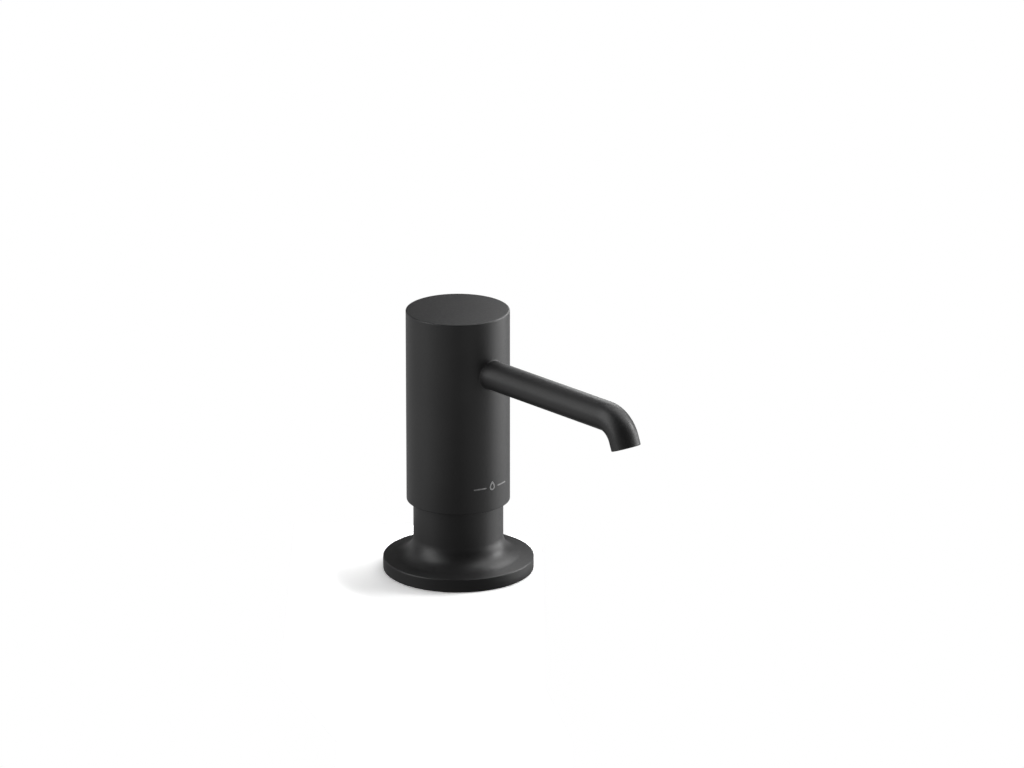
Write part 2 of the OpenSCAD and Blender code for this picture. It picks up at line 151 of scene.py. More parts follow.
# Softboxes: name, degrees round from the camera to the picture's right, degrees up, distance in
# metres, width, height and watts
SOFTBOXES = [
    ("right_low", 105, -4, 1.3, 1.2, 0.5, 8.3),
    ("left", -75, 26, 1.3, 0.8, 1.4, 10.5),
    ("left_rear", -135, 20, 1.3, 0.5, 1.0, 1.0),
    ("overhead_rear", 180, 70, 1.3, 0.8, 0.8, 3.6),
    ("mid_right", 95, 50, 0.4, 0.3, 0.3, 0.62),
    ("mid_right_rear", 125, 32, 0.4, 0.3, 0.3, 0.42),
    ("mid_rear", 165, 20, 0.4, 0.25, 0.25, 0.045),
    ("right_fillet", 108, 22, 1.3, 0.35, 0.3, 6.0),
    ("near_right_rear", 150, 25, 0.17, 0.1, 0.1, 0.11),
]

# The height on the axis that a softbox faces, in metres: one closer than NEAR_LIGHT faces the head
NEAR_LIGHT = 0.6
NEAR_AIM_Z = 0.09
FAR_AIM_Z = 0.05

NOISE_MIDDLE = (0.3, 0.7)  # the range that nearly all of a noise's values are in


# ---------------------------------------------------------------- outlines

def rounded(corners, step=math.radians(10)):
    """A closed outline from (x, y, radius) corners, with an arc at each corner that has a radius."""
    points = []
    for i, (x, y, radius) in enumerate(corners):
        here = Vector((x, y))
        if not radius:
            points.append(here)
            continue
        to_last = (Vector(corners[i - 1][:2]) - here).normalized()
        to_next = (Vector(corners[(i + 1) % len(corners)][:2]) - here).normalized()
        half = to_last.angle(to_next) / 2
        centre = here + (to_last + to_next).normalized() * (radius / math.sin(half))
        reach = radius / math.tan(half)
        start = here + to_last * reach - centre
        end = here + to_next * reach - centre
        a = math.atan2(start.y, start.x)
        turn = (math.atan2(end.y, end.x) - a + math.pi) % math.tau - math.pi
        steps = max(2, math.ceil(abs(turn) / step))
        for k in range(steps + 1):
            angle = a + turn * k / steps
            points.append(centre + radius * Vector((math.cos(angle), math.sin(angle))))
    return points


def subdivided(outline, z_lo, z_hi, longest):
    """The outline with its upright stretches between two heights cut into short steps."""
    points = []
    for i, a in enumerate(outline):
        b = outline[(i + 1) % len(outline)]
        points.append(a)
        inside = z_lo - 1e-6 <= min(a.y, b.y) and max(a.y, b.y) <= z_hi + 1e-6
        if inside and abs(a.y - b.y) > longest:
            steps = math.ceil(abs(a.y - b.y) / longest)
            points += [a.lerp(b, k / steps) for k in range(1, steps)]
    return points


# ---------------------------------------------------------------- meshes

def mesh_object(name, verts, faces, sharp=35.0):
    """A smooth-shaded object from points in mm; edges steeper than sharp degrees stay crisp."""
    mesh = bpy.data.meshes.new(name)
    mesh.from_pydata([tuple(c * MM for c in v) for v in verts], [], faces)
    clean(mesh)
    obj = bpy.data.objects.new(name, mesh)
    scene.collection.objects.link(obj)
    shade(obj, sharp)
    return obj


def clean(mesh, gap=WELD_GAP):
    """Welds points closer than a gap in metres, and removes faces without area and loose edges."""
    work = bmesh.new()
    work.from_mesh(mesh)
    bmesh.ops.remove_doubles(work, verts=work.verts, dist=gap)
    bmesh.ops.dissolve_degenerate(work, edges=work.edges, dist=gap / 2)
    loose = [edge for edge in work.edges if not edge.link_faces]
    bmesh.ops.delete(work, geom=loose, context="EDGES")
    bmesh.ops.recalc_face_normals(work, faces=work.faces)
    work.to_mesh(mesh)
    work.free()


def shade(obj, sharp=35.0):
    """Smooth shading with crisp edges where faces meet at more than sharp degrees."""
    obj.data.shade_smooth()
    obj.data.set_sharp_from_angle(angle=math.radians(sharp))
    weighted = obj.modifiers.new("Weighted normals", "WEIGHTED_NORMAL")
    weighted.keep_sharp = True
    weighted.weight = 80


def lathe(name, outline, around, warp=None, sharp=35.0):
    """A solid turned about Z from a closed outline of (r, z); warp moves points by their angle."""
    verts, faces = [], []
    count = len(outline)
    for k in range(around):
        angle = math.tau * k / around
        for r, z in outline:
            if warp:
                r, z = warp(r, z, angle)
            verts.append((r * math.cos(angle), r * math.sin(angle), z))
    for k in range(around):
        a, b = k * count, (k + 1) % around * count
        for i in range(count):
            j = (i + 1) % count
            faces.append((a + i, b + i, b + j, a + j))
    return mesh_object(name, verts, faces, sharp)


def tube(name, rings, sides, closed=True):
    """A surface through rings of (centre, side vector, up vector, radius); closed joins its ends."""
    verts, faces = [], []
    for centre, side, up, radius in rings:
        for k in range(sides):
            angle = math.tau * k / sides
            verts.append(centre + radius * (math.cos(angle) * side + math.sin(angle) * up))
    spans = len(rings) if closed else len(rings) - 1
    for i in range(spans):
        a, b = i * sides, (i + 1) % len(rings) * sides
        for k in range(sides):
            m = (k + 1) % sides
            faces.append((a + k, b + k, b + m, a + m))
    if not closed:
        faces.append(tuple(range(sides)))
        faces.append(tuple(range((len(rings) - 1) * sides, len(rings) * sides)))
    return mesh_object(name, verts, faces)


def cross_cutter(radius, z, start, end, around):
    """A cylinder that lies along -Y at a height, from one distance off the axis to another."""
    outline = [Vector(p) for p in ((0, start), (radius, start), (radius, end), (0, end))]
    cutter = lathe("cross_cutter", outline, around)
    upright_to_front = Matrix.Rotation(math.pi / 2, 4, "X")
    cutter.matrix_world = Matrix.Translation((0, 0, z * MM)) @ upright_to_front
    return cutter


def boolean(obj, cutter, operation="DIFFERENCE"):
    """Cuts or joins a mesh with another one, which is then removed."""
    step = obj.modifiers.new("Boolean", "BOOLEAN")
    step.operation = operation
    step.solver = "EXACT"
    step.object = cutter
    bake(obj)
    clean(obj.data, BOOLEAN_GAP)
    bpy.data.objects.remove(cutter)


def bake(obj):
    """Applies an object's modifiers to its mesh, apart from its weighted normals."""
    weighted = obj.modifiers.get("Weighted normals")
    if weighted:
        obj.modifiers.remove(weighted)
    view = bpy.context.evaluated_depsgraph_get()
    obj.data = bpy.data.meshes.new_from_object(obj.evaluated_get(view))
    obj.modifiers.clear()


def bevel(obj, width):
    """Rounds an object's crisp edges by a width in mm."""
    step = obj.modifiers.new("Bevel", "BEVEL")
    step.width = width * MM
    step.segments = 3
    step.limit_method = "ANGLE"
    step.angle_limit = math.radians(40)
    bake(obj)


def place(obj, body, slot, replaced=None, material=None):
    """Gives a finished piece its material (its slot's, unless one is given), hides the CAD node it
    stands for and attaches it to its body.
    """
    obj.data.materials.clear()
    obj.data.materials.append(material or MATERIALS[slot])
    if replaced:
        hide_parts(replaced)
    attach(obj, body)
    return obj


# ---------------------------------------------------------------- materials

class Nodes:
    """A material's node tree, with its texture space in millimetres of the part's own frame."""

    def __init__(self, name):
        self.material = bpy.data.materials.new(name)
        self.material.use_nodes = True
        self.tree = self.material.node_tree
        self.shader = self.tree.nodes["Principled BSDF"]
        where = self.tree.nodes.new("ShaderNodeTexCoord")
        self.mm = self.node("ShaderNodeVectorMath", operation="SCALE")
        self.mm.inputs["Scale"].default_value = 1 / MM
        self.link(where.outputs["Object"], self.mm.inputs[0])
        self.last_bump = None

    def node(self, kind, **settings):
        """A new node of a kind, with its settings."""
        made = self.tree.nodes.new(kind)
        for key, value in settings.items():
            setattr(made, key, value)
        return made

    def link(self, a, b):
        """Joins an output to an input."""
        self.tree.links.new(a, b)

    def noise(self, size, detail=2.0, roughness=0.5, stretch=(1, 1, 1)):
        """Noise whose features are about size mm across, stretched along the axes."""
        space = self.node("ShaderNodeMapping")
        space.inputs["Scale"].default_value = [1 / (size * s) for s in stretch]
        self.link(self.mm.outputs[0], space.inputs["Vector"])
        made = self.node("ShaderNodeTexNoise")
        made.inputs["Scale"].default_value = 1.0
        made.inputs["Detail"].default_value = detail
        made.inputs["Roughness"].default_value = roughness
        self.link(space.outputs[0], made.inputs["Vector"])
        return made.outputs["Fac"]

    def spread(self, factor, low, high):
        """The factor's middle range mapped to a range of values."""
        made = self.node("ShaderNodeMapRange")
        made.inputs["From Min"].default_value, made.inputs["From Max"].default_value = NOISE_MIDDLE
        made.inputs["To Min"].default_value = low
        made.inputs["To Max"].default_value = high
        self.link(factor, made.inputs["Value"])
        return made.outputs[0]

    def colour(self, factor, dark, light):
        """Base colour that varies between two colours."""
        made = self.node("ShaderNodeValToRGB")
        for stop, position, colour in zip(made.color_ramp.elements, NOISE_MIDDLE, (dark, light)):
            stop.position = position
            stop.color = (*colour, 1)
        self.link(factor, made.inputs["Fac"])
        self.link(made.outputs["Color"], self.shader.inputs["Base Color"])

    def roughness(self, factor, low, high):
        """Roughness that varies between two values."""
        self.link(self.spread(factor, low, high), self.shader.inputs["Roughness"])

    def bump(self, height, depth):
        """Adds relief of depth mm on top of the relief that is there."""
        made = self.node("ShaderNodeBump")
        made.inputs["Strength"].default_value = 1.0
        made.inputs["Distance"].default_value = depth * MM
        self.link(height, made.inputs["Height"])
        if self.last_bump:
            self.link(self.last_bump.outputs[0], made.inputs["Normal"])
        self.link(made.outputs[0], self.shader.inputs["Normal"])
        self.last_bump = made

    def set(self, **values):
        """Sets the shader's own sockets, with _ for a space in their names."""
        for name, value in values.items():
            self.shader.inputs[name.replace("_", " ")].default_value = value


def matte_black():
    """Powder coat: fine grain, and a faint drift of tone and gloss over centimetres."""
    m = Nodes("matte_black_powder_coat")
    m.colour(m.noise(14, detail=3), (0.0165, 0.0165, 0.0170), (0.0205, 0.0203, 0.0205))
    m.roughness(m.noise(0.9, detail=4), 0.40, 0.46)
    m.bump(m.noise(0.55, detail=1), 0.0035)
    m.bump(m.noise(0.16, detail=2), 0.0016)
    m.set(IOR=1.5)
    return m.material


def moulded(name, dark, light, gloss, grain=0.25, depth=0.003, soft=0.0):
    """Injection-moulded plastic: faint flow marks and a fine spark-eroded grain."""
    m = Nodes(name)
    m.colour(m.noise(9, detail=3, stretch=(1, 1, 3)), dark, light)
    m.roughness(m.noise(1.4, detail=3), *gloss)
    m.bump(m.noise(grain, detail=2), depth)
    if soft:
        m.set(Subsurface_Weight=soft, Subsurface_Scale=0.002)
        m.shader.inputs["Subsurface Radius"].default_value = (1.0, 0.95, 0.85)
    return m.material


def blown_bottle():
    """Milky blown polyethylene: cloudy walls, faint vertical draw lines and a soft skin."""
    m = Nodes("milky_polyethylene")
    m.colour(m.noise(26, detail=4, stretch=(1, 1, 1.6)), (0.61, 0.625, 0.60), (0.69, 0.695, 0.67))
    m.roughness(m.noise(5, detail=4), 0.30, 0.42)
    m.bump(m.noise(1.8, detail=2, stretch=(1, 1, 14)), 0.012)
    m.bump(m.noise(0.5, detail=2), 0.004)
    m.set(Subsurface_Weight=0.6, Subsurface_Scale=0.006)
    m.shader.inputs["Subsurface Radius"].default_value = (1.0, 0.97, 0.88)
    return m.material


def rubber(name, dark, light, gloss):
    """Moulded black rubber with a fine talc-like bloom."""
    m = Nodes(name)
    m.colour(m.noise(2.4, detail=5, roughness=0.65), dark, light)
    m.roughness(m.noise(0.8, detail=4), *gloss)
    m.bump(m.noise(0.3, detail=3), 0.006)
    return m.material


def steel(name, gloss, stretch, depth):
    """Stainless steel with fine scratches, drawn out where stretch is above 1."""
    m = Nodes(name)
    m.colour(m.noise(6, detail=3), (0.50, 0.50, 0.505), (0.60, 0.60, 0.60))
    m.roughness(m.noise(0.5, detail=3, stretch=stretch), *gloss)
    m.bump(m.noise(0.12, detail=2, stretch=stretch), depth)
    m.set(Metallic=1.0)
    return m.material


def etched_mark():
    """Slightly uneven light grey of a laser mark in the coating."""
    m = Nodes("laser_mark")
    m.colour(m.noise(0.5, detail=3), (0.26, 0.26, 0.26), (0.34, 0.34, 0.34))
    m.roughness(m.noise(0.3), 0.5, 0.62)
    m.bump(m.noise(0.2), 0.002)
    return m.material


MATERIALS = {
    "matte_black_finish": matte_black(),
    "black_plastic": moulded(
        "black_moulded_plastic", (0.028, 0.028, 0.030), (0.036, 0.036, 0.038), (0.42, 0.52)
    ),
    "white_plastic": moulded(
        "white_polypropylene", (0.62, 0.62, 0.60), (0.68, 0.68, 0.66), (0.32, 0.42),
        grain=0.4, depth=0.002, soft=0.15,
    ),
    "natural_plastic": moulded(
        "natural_polyethylene", (0.54, 0.55, 0.52), (0.62, 0.62, 0.58), (0.30, 0.40),
        grain=0.4, depth=0.002, soft=0.5,
    ),
    "bottle_plastic": blown_bottle(),
    "stainless_steel": steel("stainless_steel", (0.24, 0.34), stretch=(1, 1, 9), depth=0.0008),
    "polished_steel": steel("polished_steel", (0.07, 0.13), stretch=(1, 1, 1), depth=0.0002),
    "seal_rubber": rubber(
        "nitrile_rubber", (0.022, 0.022, 0.022), (0.034, 0.034, 0.033), (0.55, 0.68)
    ),
    "deck_rubber": rubber(
        "sheet_rubber", (0.028, 0.028, 0.028), (0.048, 0.048, 0.046), (0.72, 0.86)
    ),
}


# ---------------------------------------------------------------- head

def head_shell():
    """The pump head: closed drum with a soft top edge and a close hole for the spout."""
    outline = rounded([
        (0, HEAD_CEILING_Z, 0),
        (HEAD_BORE_R, HEAD_CEILING_Z, 0.4),
        (HEAD_BORE_R, HEAD_RIM_Z, 0.25),
        (HEAD_R, HEAD_RIM_Z, 0.3),
        (HEAD_R, HEAD_TOP_Z, 0.5),
        (HEAD_R * 0.6, HEAD_TOP_Z, 0),  # a ring across the top, so its faces are shorter
        (0, HEAD_TOP_Z, 0),
    ])
    shell = lathe("head_drum", subdivided(outline, HEAD_RIM_Z, HEAD_TOP_Z, 3.0), 256)
    clearance = 0.03
    boolean(shell, cross_cutter(SPOUT_R + clearance, SPOUT_Z, start=10, end=20, around=96))
    shade(shell, 25)
    return place(shell, "head", "matte_black_finish", "head_shell")


def spout_path(distance):
    """The spout's centreline at a distance in mm from its root: point, side vector and up vector."""
    side = Vector((1, 0, 0))
    straight = SPOUT_RUN - SPOUT_ROOT_Y
    curved = SPOUT_BEND_R * SPOUT_BEND
    turn = min(max(distance - straight, 0), curved) / SPOUT_BEND_R
    along = Vector((0, -math.cos(turn), -math.sin(turn)))
    y = -SPOUT_ROOT_Y - min(distance, straight) - SPOUT_BEND_R * math.sin(turn)
    z = SPOUT_Z - SPOUT_BEND_R * (1 - math.cos(turn))
    point = Vector((0, y, z)) + along * max(distance - straight - curved, 0)
    return point, side, side.cross(along)


def along_spout(name, outline, sides):
    """A piece with a closed outline of (radius, distance) swept round the spout's centreline."""
    rings = []
    for radius, distance in outline:
        point, side, up = spout_path(distance)
        rings.append((point, side, up, radius))
    return tube(name, rings, sides)


def spout():
    """Bent tube with a square-cut outlet, a rounded lip and a seal groove at its root."""
    groove_start, groove_end = 1.6, 2.9
    groove_r = SPOUT_R - 0.9
    outline = rounded([
        (SPOUT_BORE_R, 0, 0),
        (SPOUT_R, 0, 0.3),
        (SPOUT_R, groove_start, 0),
        (groove_r, groove_start, 0),
        (groove_r, groove_end, 0),
        (SPOUT_R, groove_end, 0),
        (SPOUT_R, SPOUT_LENGTH, 0.4),
        (SPOUT_BORE_R, SPOUT_LENGTH, 0.25),
    ])
    piece = along_spout("spout_tube", subdivided(outline, 0, SPOUT_LENGTH, 0.45), 96)
    return place(piece, "head", "matte_black_finish", "spout")


def spout_root():
    """The small concave fillet of finish round the spout, where it leaves the head's curved face."""
    fillet, sunk, steps = 0.35, 0.12, 6
    section = []
    for k in range(steps + 1):
        a = math.pi / 2 * k / steps
        section.append((SPOUT_R + fillet * (1 - math.cos(a)), fillet * (1 - math.sin(a))))
    section += [(SPOUT_R + fillet, -sunk), (SPOUT_R - sunk, -sunk), (SPOUT_R - sunk, fillet)]
    verts, faces = [], []
    around, count = 96, len(section)
    for k in range(around):
        angle = math.tau * k / around
        for radius, off_face in section:
            x = radius * math.cos(angle)
            face_y = -math.sqrt(HEAD_R ** 2 - x ** 2)
            verts.append((x, face_y - off_face, SPOUT_Z + radius * math.sin(angle)))
        a, b = k * count, (k + 1) % around * count
        faces += [(a + i, b + i, b + (i + 1) % count, a + (i + 1) % count) for i in range(count)]
    piece = mesh_object("spout_root_fillet", verts, faces)
    return place(piece, "head", "matte_black_finish")


def spout_liner():
    """Delivery tube inside the spout, with a softly rounded end."""
    end = SPOUT_LENGTH - 1
    outline = rounded([
        (LINER_BORE_R, 0, 0),
        (LINER_R, 0, 0),
        (LINER_R, end, 0.35),
        (LINER_BORE_R, end, 0.35),
    ])
    piece = along_spout("delivery_tube", subdivided(outline, 0, SPOUT_LENGTH, 0.6), 48)
    return place(piece, "head", "natural_plastic", "spout_liner")


def bar_outline(x0, x1, half):
    """A bar with round ends: its lower edge from x0 to x1, then its upper edge back to x0."""
    ends = [half * (1 - math.cos(math.pi / 2 * k / 5)) for k in range(6)]
    straight = x1 - x0 - 2 * half
    steps = round(straight / 0.4)
    middle = [x0 + half + straight * k / steps for k in range(1, steps)]
    xs = [x0 + e for e in ends] + middle + [x1 - e for e in reversed(ends)]
    upper = []
    for x in xs:
        into_end = max(x0 + half - x, x - x1 + half, 0)
        upper.append((x, math.sqrt(max(0.0, half ** 2 - into_end ** 2))))
    return [(x, -y) for x, y in upper] + upper[::-1]


def drop_outline(belly, tip):
    """A drop: half a circle below, and sides that draw in to a tip above."""
    points = []
    count = 48
    for k in range(count):
        a = math.tau * k / count
        x, rise = belly * math.cos(a), math.sin(a)
        if rise <= 0:
            points.append((x, belly * rise))
        else:
            points.append((x * (1 - 0.72 * rise ** 1.6), tip * (1 - (1 - rise) ** 1.15)))
    return points


def generic_mark():
    """A small drop between two short bars, laser-marked on the head below the spout."""
    centre_z = 35.2
    stroke = 0.5
    bar_from, bar_to = 2.6, 7.6
    drop_r, drop_tip = 1.2, 2.2
    proud, sunk = HEAD_R + 0.012, HEAD_R - 0.05
    verts, faces = [], []

    def wrap(points, radius):
        """Adds an outline's points round the head at a radius, and says where they start."""
        start = len(verts)
        for x, z in points:
            angle = x / HEAD_R - math.pi / 2
            verts.append((radius * math.cos(angle), radius * math.sin(angle), centre_z + z))
        return start

    for side in (-1, 1):
        outline = bar_outline(*sorted((side * bar_from, side * bar_to)), stroke / 2)
        count = len(outline)
        top, bottom = wrap(outline, proud), wrap(outline, sunk)
        for k in range(count // 2 - 1):
            low, high = (k, k + 1), (count - 2 - k, count - 1 - k)
            faces.append((top + low[0], top + low[1], top + high[0], top + high[1]))
            faces.append((bottom + high[1], bottom + high[0], bottom + low[1], bottom + low[0]))
        for k in range(count):
            j = (k + 1) % count
            faces.append((bottom + k, bottom + j, top + j, top + k))
    outer = drop_outline(drop_r, drop_tip)
    inner = drop_outline(drop_r - stroke, drop_tip - 1.9 * stroke)
    rings = [wrap(outer, proud), wrap(outer, sunk), wrap(inner, sunk), wrap(inner, proud)]
    for a, b in zip(rings, rings[1:] + rings[:1]):
        for k in range(len(outer)):
            j = (k + 1) % len(outer)
            faces.append((a + k, a + j, b + j, b + k))
    piece = mesh_object("generic_mark", verts, faces)
    return place(piece, "head", "matte_black_finish", material=etched_mark())


# ---------------------------------------------------------------- base

def base_flange():
    """Neck, concave fillet and flange in one turned piece, with a crisp, slightly rounded rim."""
    rim_r = 0.5
    rim_z = FLANGE_H - FLANGE_SLOPE * rim_r
    crown_z = FLANGE_H + FLANGE_SLOPE * (FLANGE_R - rim_r - NECK_R)
    outline = rounded([
        (THREAD_CLEAR_R, THREAD_LEAD_IN, 0),
        (THREAD_CLEAR_R + THREAD_LEAD_IN, 0, 0),
        (RECESS_INNER_R, 0, 0),
        (RECESS_INNER_R, RECESS_Z, 0),
        (RECESS_OUTER_R, RECESS_Z, 0),
        (RECESS_OUTER_R, 0, 0),
        (FLANGE_R, 0, 0.3),
        (FLANGE_R, rim_z, rim_r),
        (NECK_R, crown_z, NECK_FILLET),
        (NECK_R, NECK_TOP_Z, 0.6),
        (NECK_BORE_R, NECK_TOP_Z, 0.6),
        (NECK_BORE_R, SHANK_TOP_Z, 0),
        (THREAD_CLEAR_R, SHANK_TOP_Z, 0),
    ], math.radians(5))
    piece = lathe("base_flange_and_neck", subdivided(outline, SHANK_TOP_Z, NECK_TOP_Z, 3.0), 256)
    return place(piece, "base", "matte_black_finish", "base_flange")


def thread_radius(z, angle, low, high):
    """The surface of a right-hand thread whose height fades out at both ends."""
    half_root, flank = 0.45, 0.3  # half the ridge's width at its root, and a flank's, in pitches
    phase = (z / THREAD_PITCH - angle / math.tau) % 1
    rise = min(max((half_root - abs(phase - 0.5)) / flank, 0), 1)
    fade = min((z - low) / THREAD_PITCH, (high - z) / THREAD_PITCH, 1)
    return THREAD_ROOT_R + (THREAD_R - THREAD_ROOT_R) * rise * fade


def shank():
    """Tube with a true helical thread."""
    low, high = SHANK_BOTTOM_Z + 1, SHANK_TOP_Z - 1
    rings_per_turn = 16
    outline = rounded([
        (SHANK_BORE_R, SHANK_BOTTOM_Z, 0.3),
        (THREAD_ROOT_R, SHANK_BOTTOM_Z, 0.4),
        (THREAD_ROOT_R, SHANK_TOP_Z, 0.4),
        (SHANK_BORE_R, SHANK_TOP_Z, 0.3),
    ])
    points = []
    for i, a in enumerate(outline):
        b = outline[(i + 1) % len(outline)]
        points.append(a)
        if min(a.x, b.x) > THREAD_ROOT_R - 0.5 and abs(a.y - b.y) > 10:
            steps = round(abs(a.y - b.y) / (THREAD_PITCH / rings_per_turn))
            points += [a.lerp(b, k / steps) for k in range(1, steps)]

    def warp(r, z, angle):
        on_side = r > THREAD_ROOT_R - 0.01 and low < z < high
        return (thread_radius(z, angle, low, high) if on_side else r), z

    piece = lathe("threaded_shank", points, 96, warp, 50)
    return place(piece, "base", "black_plastic", "shank")


def flat_ring(name, inner, outer, low, high, edge):
    """A flat ring with rounded edges."""
    corners = [(inner, low), (outer, low), (outer, high), (inner, high)]
    return lathe(name, rounded([(r, z, edge) for r, z in corners]), 128)


def deck_gasket():
    """Rubber ring in the recess under the flange."""
    inner, outer = RECESS_INNER_R + GASKET_GAP, RECESS_OUTER_R - GASKET_GAP
    piece = flat_ring("deck_seal", inner, outer, 0, RECESS_Z - GASKET_GAP, 0.15)
    return place(piece, "base", "deck_rubber", "deck_gasket")


def rubber_washer():
    """Soft washer that grips the deck from below."""
    piece = flat_ring("under_deck_rubber", 14.3, 25.0, CLAMP_TOP_Z, -DECK_T, 0.45)
    return place(piece, "base", "deck_rubber", "rubber_washer")


def clamp_washer():
    """Steel washer between the nut and the rubber."""
    piece = flat_ring("under_deck_steel", 14.4, 24.0, NUT_TOP_Z, CLAMP_TOP_Z, 0.25)
    return place(piece, "base", "stainless_steel", "clamp_washer")


def mounting_nut():
    """Flanged nut with a round hub and four round-ended wings."""
    hub_r, flange_r = 18.2, 22.5
    flange_z = NUT_TOP_Z - 2.6
    nut = lathe("wing_nut", rounded([
        (THREAD_CLEAR_R, NUT_BOTTOM_Z, 0.6),
        (hub_r, NUT_BOTTOM_Z, 0.6),
        (hub_r, flange_z, 0.8),
        (flange_r, flange_z, 0.6),
        (flange_r, NUT_TOP_Z, 0.5),
        (THREAD_CLEAR_R, NUT_TOP_Z, 0.6),
    ]), 128)
    for k in range(4):
        wing = wing_block()
        wing.matrix_world = Matrix.Rotation(math.radians(45 + 90 * k), 4, "Z")
        boolean(nut, wing, "UNION")
    shade(nut, 30)
    return place(nut, "base", "black_plastic", "mounting_nut")


def wing_block():
    """One wing along +X, with a round end, a waist and soft edges."""
    low, high = NUT_BOTTOM_Z + 1, NUT_TOP_Z - 0.05
    end_x, end_r, steps = 26, 2.5, 12
    waist_depth, waist_length = 0.7, 8
    side = []
    for k in range(steps + 1):
        a = math.pi * (k / steps - 0.5)
        side.append((end_x + end_r * math.cos(a), end_r * math.sin(a)))
    for x in (24, 22, 20, 17):
        along = min((end_x - x) / waist_length, 1)
        side.append((x, end_r - waist_depth * math.sin(math.pi * along)))
    side += [(x, -y) for x, y in reversed(side[steps + 1:])]
    verts = [(x, y, z) for z in (low, high) for x, y in side]
    count = len(side)
    faces = [(k, (k + 1) % count, count + (k + 1) % count, count + k) for k in range(count)]
    faces += [tuple(range(count)), tuple(range(count, 2 * count))]
    wing = mesh_object("wing", verts, faces)
    bevel(wing, 0.7)
    return wing


def bottle():
    """Blown bottle: plain neck, round shoulder, shallow grip band, mould seam and pushed-up base."""
    wall = 1.2
    low = BOTTLE_BOTTOM_Z
    band_r, band_top, band_bottom = BOTTLE_R - 0.7, -93, -179
    push_z = low + 2.2
    inner_r = BOTTLE_R - wall - 0.8
    seam_height, seam_half, seam_from_r = 0.22, 0.5, 30
    outline = rounded([
        (THREAD_CLEAR_R, BOTTLE_NECK_TOP_Z, 0.3),
        (BOTTLE_NECK_R, BOTTLE_NECK_TOP_Z, 0.8),
        (BOTTLE_NECK_R, BOTTLE_TOP_Z, 1.2),
        (BOTTLE_R, BOTTLE_TOP_Z, 16),
        (BOTTLE_R, band_top + 1, 1.5),
        (band_r, band_top, 1.5),
        (band_r, band_bottom, 1.5),
        (BOTTLE_R, band_bottom - 1, 1.5),
        (BOTTLE_R, low, 6),
        (BOTTLE_R - 8, low, 1.2),
        (BOTTLE_R - 10, push_z, 1.2),
        (0, push_z, 0),
        (0, push_z + wall, 0),
        (inner_r, push_z + wall, 4.5),
        (inner_r, BOTTLE_TOP_Z - wall, 14.5),
        (THREAD_CLEAR_R, BOTTLE_TOP_Z - wall, 0),
    ], math.radians(6))

    def seam(r, z, angle):
        """A fine raised line down opposite sides."""
        off = abs(math.sin(angle)) * r
        if r > seam_from_r and off < seam_half:
            r = min(r + seam_height * (1 - (off / seam_half) ** 2), BOTTLE_R)
        return r, z

    piece = lathe("refill_bottle", subdivided(outline, low, BOTTLE_NECK_TOP_Z, 2.5), 240, seam, 40)
    return place(piece, "base", "bottle_plastic", "bottle")


# ---------------------------------------------------------------- pump

def pump_cap():
    """Screw closure with a fluted side and a seal groove."""
    bore_r, side_r, opening_r = 11.3, 13.3, 5.0
    bottom, ceiling, top = 14.6, 22.05, 25.0
    groove_r, groove_low, groove_high = 12.15, 22.45, 23.95
    flutes, points_per_flute = 24, 14
    flute_depth, flute_low, flute_high, flute_fade = 0.42, 15.8, 21.3, 0.5
    outline = rounded([
        (bore_r, bottom, 0.2),
        (side_r, bottom, 0.35),
        (side_r, groove_low, 0.12),
        (groove_r, groove_low, 0),
        (groove_r, groove_high, 0),
        (side_r, groove_high, 0.12),
        (side_r, top, 0.45),
        (opening_r, top, 0.35),
        (opening_r, ceiling, 0),
        (bore_r, ceiling, 0),
    ])

    def fluted(r, z, angle):
        if r < side_r - 0.3:
            return r, z
        wave = max(0.0, math.cos(flutes * angle)) ** 2
        ends = min(1.0, (z - flute_low) / flute_fade, (flute_high - z) / flute_fade)
        return r - flute_depth * wave * max(ends, 0.0), z

    fine = subdivided(outline, bottom, groove_low + 0.05, 0.25)
    piece = lathe("pump_closure", fine, flutes * points_per_flute, fluted, 40)
    return place(piece, "pump", "black_plastic", "pump_cap")


def pump_housing():
    """Pump cylinder with its seating flange, inlet seat, tube socket and air vent."""
    bore_r, wall_r, collar_r, flange_r = 7.6, 9.4, 11.2, 13.2
    top, flange_top, flange_bottom, floor_z = 20.0, 14.5, 13.0, -32.0
    cage_r, seat_r, seat_top, seat_bottom = 4.2, 2.2, -38.0, -40.0
    socket_r, socket_bore_r, socket_top, socket_bottom = 5.6, 3.56, -42.0, -54.0
    outline = rounded([
        (bore_r, top, 0.3),
        (collar_r, top, 0.4),
        (collar_r, flange_top, 0.3),
        (flange_r, flange_top, 0.25),
        (flange_r, flange_bottom, 0.25),
        (wall_r, flange_bottom, 0.5),
        (wall_r, floor_z - 1.0, 0.8),
        (socket_r, floor_z - 5.0, 1.2),
        (socket_r, socket_bottom, 0.5),
        (socket_bore_r + 0.34, socket_bottom, 0.2),
        (socket_bore_r, socket_bottom + 0.4, 0.2),
        (socket_bore_r, socket_top, 0),
        (seat_r, socket_top, 0),
        (seat_r, seat_bottom, 0),
        (cage_r, seat_top, 0),
        (cage_r, floor_z, 0.15),
        (bore_r, floor_z, 0.1),
    ])
    piece = lathe("pump_cylinder", subdivided(outline, socket_bottom, top, 3.0), 144, None, 30)
    vent_r, vent_z = 0.6, 5
    boolean(piece, cross_cutter(vent_r, vent_z, start=6, end=12, around=32))
    shade(piece, 30)
    return place(piece, "pump", "white_plastic", "pump_housing")


